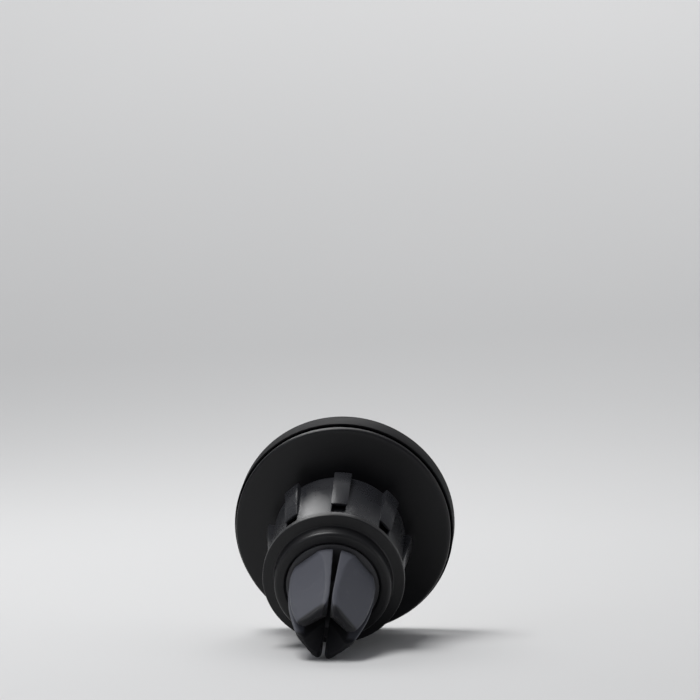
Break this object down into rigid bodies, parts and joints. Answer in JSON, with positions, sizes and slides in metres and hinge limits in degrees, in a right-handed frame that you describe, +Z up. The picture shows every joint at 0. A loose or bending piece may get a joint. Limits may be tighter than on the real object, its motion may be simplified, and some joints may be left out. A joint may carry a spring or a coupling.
{
  "type": "car phone mount",
  "caption": "Magnetic phone mount with a round magnet head on a ball joint, a ribbed lock nut and a soft four-jaw clip for an air-vent blade.",
  "frame": {"origin": "the middle of the clip's mouth, on the clip's own axis, where a vent blade enters the blade slot", "axes": "+Z up as the mount leans when it props a phone on a table, with the head's lower rim and the lower jaw tips level; -Y the way the clip points, which also slopes about 21 degrees down; +Y the side of the magnet face; +X to the right seen from the clip"},
  "size_m": [0.0466, 0.0608, 0.0461],
  "materials": {
    "pad_rubber": "matt",
    "adhesive_film": "semi-matt",
    "black_plastic": "fine matt texture",
    "nickel": "nickel plated",
    "zinc_steel": "zinc plated",
    "screw_steel": "bright zinc plated",
    "ball_plastic": "polished",
    "nylon": "natural, satin",
    "nut_plastic": "satin",
    "core_plastic": "plain",
    "grey_rubber": "soft matt",
    "plate_steel": "satin",
    "foam_tape": "matt"
  },
  "bodies": {
    "clip_base": {"clip_body": "black_plastic", "clip_hub": "black_plastic", "clip_screw": "screw_steel"},
    "nut": {"lock_nut": "nut_plastic"},
    "seat": {"seat_ring": "nylon"},
    "stud": {"ball_stud": "ball_plastic"},
    "head": {"face_pad": "pad_rubber", "pad_film": "adhesive_film", "magnet_housing": "black_plastic", "magnets": "nickel", "steel_yoke": "zinc_steel", "rear_cover": "black_plastic", "cover_screws": "screw_steel", "stud_washer": "screw_steel"},
    "jaw_upper_right": {"jaw_core_upper_right": "core_plastic", "jaw_boot_upper_right": "grey_rubber"},
    "jaw_upper_left": {"jaw_core_upper_left": "core_plastic", "jaw_boot_upper_left": "grey_rubber"},
    "jaw_lower_left": {"jaw_core_lower_left": "core_plastic", "jaw_boot_lower_left": "grey_rubber"},
    "jaw_lower_right": {"jaw_core_lower_right": "core_plastic", "jaw_boot_lower_right": "grey_rubber"},
    "plate": {"phone_plate": "plate_steel", "plate_adhesive": "foam_tape"}
  },
  "joints": [
    {"name": "nut_turn", "type": "hinge", "parent": "clip_base", "child": "nut", "pos_m": [-0.00127, 0.03642, 0.01417], "axis": [0.0326, -0.9315, -0.3624], "range_deg": [-90, 0]},
    {"name": "ball_turn", "type": "hinge", "parent": "clip_base", "child": "seat", "pos_m": [-0.00127, 0.03642, 0.01417], "axis": [0.0326, -0.9315, -0.3624], "continuous": true},
    {"name": "ball_tilt", "type": "hinge", "parent": "seat", "child": "stud", "pos_m": [-0.00127, 0.03642, 0.01417], "axis": [0.9426, -0.0919, 0.3209], "range_deg": [-12, 22.5]},
    {"name": "head_spin", "type": "hinge", "parent": "stud", "child": "head", "pos_m": [-0.00127, 0.03642, 0.01417], "axis": [0, -0.9614, -0.2752], "continuous": true},
    {"name": "plate_pull", "type": "slide", "parent": "head", "child": "plate", "axis": [0, 0.9614, 0.2752], "range_m": [0, 0.03]},
    {"name": "jaw_upper_right_bend", "type": "hinge", "parent": "clip_base", "child": "jaw_upper_right", "pos_m": [0.00382, 0.01944, 0.01109], "axis": [-0.5863, -0.3114, 0.7479], "range_deg": [0, 5], "stiffness_Nm_per_rad": 0.8},
    {"name": "jaw_upper_left_bend", "type": "hinge", "parent": "clip_base", "child": "jaw_upper_left", "pos_m": [-0.004, 0.01875, 0.01216], "axis": [-0.8095, 0.1881, -0.5562], "range_deg": [0, 5], "stiffness_Nm_per_rad": 0.8},
    {"name": "jaw_lower_left_bend", "type": "hinge", "parent": "clip_base", "child": "jaw_lower_left", "pos_m": [-0.00525, 0.02155, 0.00486], "axis": [0.5863, 0.3114, -0.7479], "range_deg": [0, 5], "stiffness_Nm_per_rad": 0.8},
    {"name": "jaw_lower_right_bend", "type": "hinge", "parent": "clip_base", "child": "jaw_lower_right", "pos_m": [0.00257, 0.02224, 0.00378], "axis": [0.8095, -0.1881, 0.5562], "range_deg": [0, 5], "stiffness_Nm_per_rad": 0.8}
  ]
}
